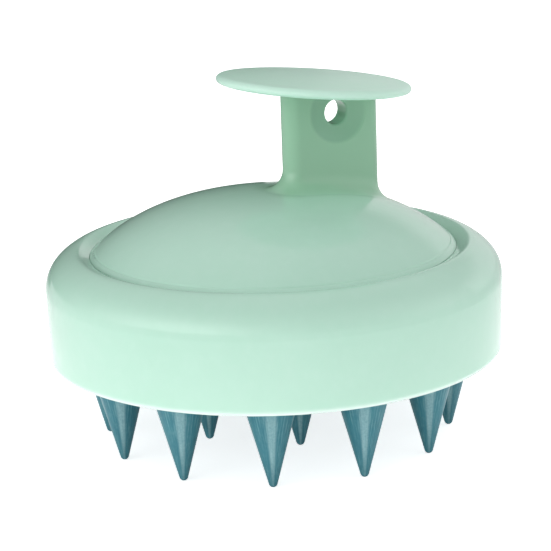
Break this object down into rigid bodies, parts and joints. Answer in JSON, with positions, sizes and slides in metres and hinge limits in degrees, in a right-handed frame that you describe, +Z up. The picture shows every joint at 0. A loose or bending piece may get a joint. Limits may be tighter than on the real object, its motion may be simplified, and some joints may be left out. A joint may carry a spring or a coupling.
{
  "type": "scalp massager brush",
  "caption": "Round palm-held scalp massager: a domed body with an off-centre flat stem, a tilted finger disc, a hanging hole and soft conical bristles.",
  "frame": {"origin": "on the round body's axis, in the plane of the longest bristle tips, which is what the brush stands on", "axes": "+Z up along the body axis, +X from the body axis towards the off-centre stem, +Y along the hanging hole"},
  "size_m": [0.09, 0.09, 0.0719],
  "materials": {
    "shell_mint": "glossy moulded plastic",
    "bristle_teal": "glossy silicone rubber"
  },
  "bodies": {
    "root": {"finger_disc": "shell_mint", "handle_shell": "shell_mint", "outer_ring": "shell_mint", "base_plate": "shell_mint", "bristle_pad": "bristle_teal"}
  },
  "joints": []
}
